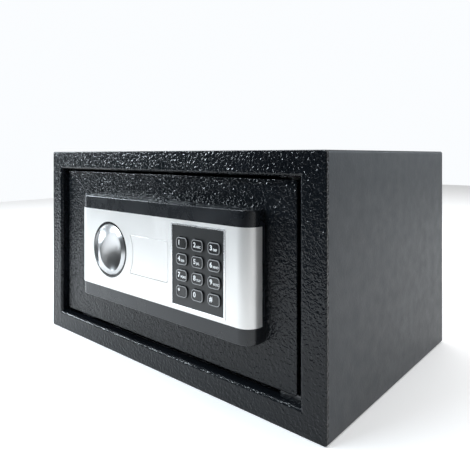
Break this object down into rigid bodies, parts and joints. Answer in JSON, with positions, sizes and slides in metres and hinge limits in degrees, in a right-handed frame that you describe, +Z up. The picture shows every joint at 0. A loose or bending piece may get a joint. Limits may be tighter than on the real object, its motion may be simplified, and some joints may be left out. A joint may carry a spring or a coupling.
{
  "type": "in-room safe",
  "caption": "Small electronic in-room safe: powder-coated steel box, recessed hinged door with keypad panel, turn knob throwing live bolts, emergency lock.",
  "frame": {"origin": "centre of the body's flat bottom", "axes": "+Z up, +X to the right seen from the front, +Y from the door to the back"},
  "size_m": [0.36, 0.264, 0.2],
  "materials": {
    "powder_coat": "black powder coat, fine hammered grain",
    "zinc_steel": "zinc-plated steel",
    "panel_plastic": "semi-gloss black moulding",
    "plate_silver": "fine satin silver",
    "knob_silver": "satin silver",
    "trim_bright": "bright silver",
    "fascia_black": "smooth black",
    "key_black": "black key caps",
    "ring_black": "gloss black",
    "rubber_grey": "silicone rubber",
    "felt_grey": "needle felt",
    "board_green": "solder mask",
    "lens_amber": "tinted lens",
    "lock_brass": "turned brass",
    "coil_copper": "enamelled wire",
    "cell_wrap": "printed sleeve without marks",
    "contact_nickel": "nickel plate",
    "case_black": "satin black",
    "button_red": "red moulding"
  },
  "bodies": {
    "safe_body": {"front_frame": "powder_coat", "body_wrap": "powder_coat", "rear_panel": "powder_coat", "floor_mat": "felt_grey", "hinge_brackets": "zinc_steel", "latch_strip": "zinc_steel"},
    "door": {"door_plate": "powder_coat", "hinge_lugs": "zinc_steel", "hinge_pins": "zinc_steel", "panel_housing": "panel_plastic", "m3_screws": "zinc_steel", "face_plate": "plate_silver", "knob_ring": "ring_black", "keypad_trim": "trim_bright", "keypad_fascia": "fascia_black", "dome_mat": "rubber_grey", "keypad_board": "board_green", "indicator_leds": "lens_amber", "buzzer": "fascia_black", "keypad_lead": "rubber_grey", "lead_grommet": "rubber_grey", "bolt_guide": "zinc_steel", "standoffs": "zinc_steel", "shoulder_screws": "zinc_steel", "lock_cylinder": "lock_brass", "lock_nut": "zinc_steel", "solenoid_frame": "zinc_steel", "solenoid_coil": "coil_copper", "plunger_spring": "zinc_steel", "main_board": "board_green", "inner_case": "case_black", "battery_tray": "panel_plastic", "battery_cells": "cell_wrap", "battery_contacts": "contact_nickel"},
    "knob_group": {"knob": "knob_silver", "knob_spindle": "zinc_steel", "spindle_clip": "zinc_steel", "crank": "zinc_steel"},
    "bolt_group": {"bolt_carriage": "zinc_steel", "lower_bolt": "contact_nickel", "upper_bolt": "contact_nickel", "bolt_nuts": "zinc_steel"},
    "cover_piece": {"lock_cover": "plate_silver"},
    "rotor_group": {"lock_rotor": "lock_brass", "lock_cam": "zinc_steel"},
    "plunger_piece": {"solenoid_plunger": "zinc_steel"},
    "battery_lid": {"battery_cover": "panel_plastic"},
    "reset_piece": {"reset_button": "button_red"},
    "key_1_cap": {"key_1": "key_black"},
    "key_2_cap": {"key_2": "key_black"},
    "key_3_cap": {"key_3": "key_black"},
    "key_4_cap": {"key_4": "key_black"},
    "key_5_cap": {"key_5": "key_black"},
    "key_6_cap": {"key_6": "key_black"},
    "key_7_cap": {"key_7": "key_black"},
    "key_8_cap": {"key_8": "key_black"},
    "key_9_cap": {"key_9": "key_black"},
    "key_star_cap": {"key_star": "key_black"},
    "key_0_cap": {"key_0": "key_black"},
    "key_hash_cap": {"key_hash": "key_black"}
  },
  "joints": [
    {"name": "door_swing", "type": "hinge", "parent": "safe_body", "child": "door", "pos_m": [0.1455, -0.104, 0.1], "axis": [0, 0, 1], "range_deg": [0, 95]},
    {"name": "bolt_knob_turn", "type": "hinge", "parent": "door", "child": "knob_group", "pos_m": [-0.05, -0.12, 0.10525], "axis": [0, -1, 0], "range_deg": [0, 80]},
    {"name": "bolt_slide", "type": "slide", "parent": "door", "child": "bolt_group", "axis": [-1, 0, 0], "range_m": [0, 0.018]},
    {"name": "emergency_cover_pull", "type": "slide", "parent": "door", "child": "cover_piece", "axis": [0, -1, 0], "range_m": [0, 0.02]},
    {"name": "emergency_lock_turn", "type": "hinge", "parent": "door", "child": "rotor_group", "pos_m": [0.012, -0.12, 0.10525], "axis": [0, 1, 0], "range_deg": [0, 90]},
    {"name": "latch_plunger_lift", "type": "slide", "parent": "door", "child": "plunger_piece", "axis": [0, 0, 1], "range_m": [0, 0.004], "deforming": ["plunger_spring"]},
    {"name": "battery_cover_pull", "type": "slide", "parent": "door", "child": "battery_lid", "axis": [0, 1, 0], "range_m": [0, 0.025]},
    {"name": "code_reset_press", "type": "slide", "parent": "door", "child": "reset_piece", "axis": [0, -1, 0], "range_m": [0, 0.001], "stiffness_N_per_m": 200, "springref_m": -0.002},
    {"name": "key_1_press", "type": "slide", "parent": "door", "child": "key_1_cap", "axis": [0, 1, 0], "range_m": [0, 0.001], "stiffness_N_per_m": 200, "springref_m": -0.002},
    {"name": "key_2_press", "type": "slide", "parent": "door", "child": "key_2_cap", "axis": [0, 1, 0], "range_m": [0, 0.001], "stiffness_N_per_m": 200, "springref_m": -0.002},
    {"name": "key_3_press", "type": "slide", "parent": "door", "child": "key_3_cap", "axis": [0, 1, 0], "range_m": [0, 0.001], "stiffness_N_per_m": 200, "springref_m": -0.002},
    {"name": "key_4_press", "type": "slide", "parent": "door", "child": "key_4_cap", "axis": [0, 1, 0], "range_m": [0, 0.001], "stiffness_N_per_m": 200, "springref_m": -0.002},
    {"name": "key_5_press", "type": "slide", "parent": "door", "child": "key_5_cap", "axis": [0, 1, 0], "range_m": [0, 0.001], "stiffness_N_per_m": 200, "springref_m": -0.002},
    {"name": "key_6_press", "type": "slide", "parent": "door", "child": "key_6_cap", "axis": [0, 1, 0], "range_m": [0, 0.001], "stiffness_N_per_m": 200, "springref_m": -0.002},
    {"name": "key_7_press", "type": "slide", "parent": "door", "child": "key_7_cap", "axis": [0, 1, 0], "range_m": [0, 0.001], "stiffness_N_per_m": 200, "springref_m": -0.002},
    {"name": "key_8_press", "type": "slide", "parent": "door", "child": "key_8_cap", "axis": [0, 1, 0], "range_m": [0, 0.001], "stiffness_N_per_m": 200, "springref_m": -0.002},
    {"name": "key_9_press", "type": "slide", "parent": "door", "child": "key_9_cap", "axis": [0, 1, 0], "range_m": [0, 0.001], "stiffness_N_per_m": 200, "springref_m": -0.002},
    {"name": "key_star_press", "type": "slide", "parent": "door", "child": "key_star_cap", "axis": [0, 1, 0], "range_m": [0, 0.001], "stiffness_N_per_m": 200, "springref_m": -0.002},
    {"name": "key_0_press", "type": "slide", "parent": "door", "child": "key_0_cap", "axis": [0, 1, 0], "range_m": [0, 0.001], "stiffness_N_per_m": 200, "springref_m": -0.002},
    {"name": "key_hash_press", "type": "slide", "parent": "door", "child": "key_hash_cap", "axis": [0, 1, 0], "range_m": [0, 0.001], "stiffness_N_per_m": 200, "springref_m": -0.002}
  ],
  "couplings": [
    {"joint": "bolt_slide", "follows": "bolt_knob_turn", "m_per_rad": 0.01289},
    {"joint": "latch_plunger_lift", "follows": "emergency_lock_turn", "m_per_rad": 0.002546}
  ]
}
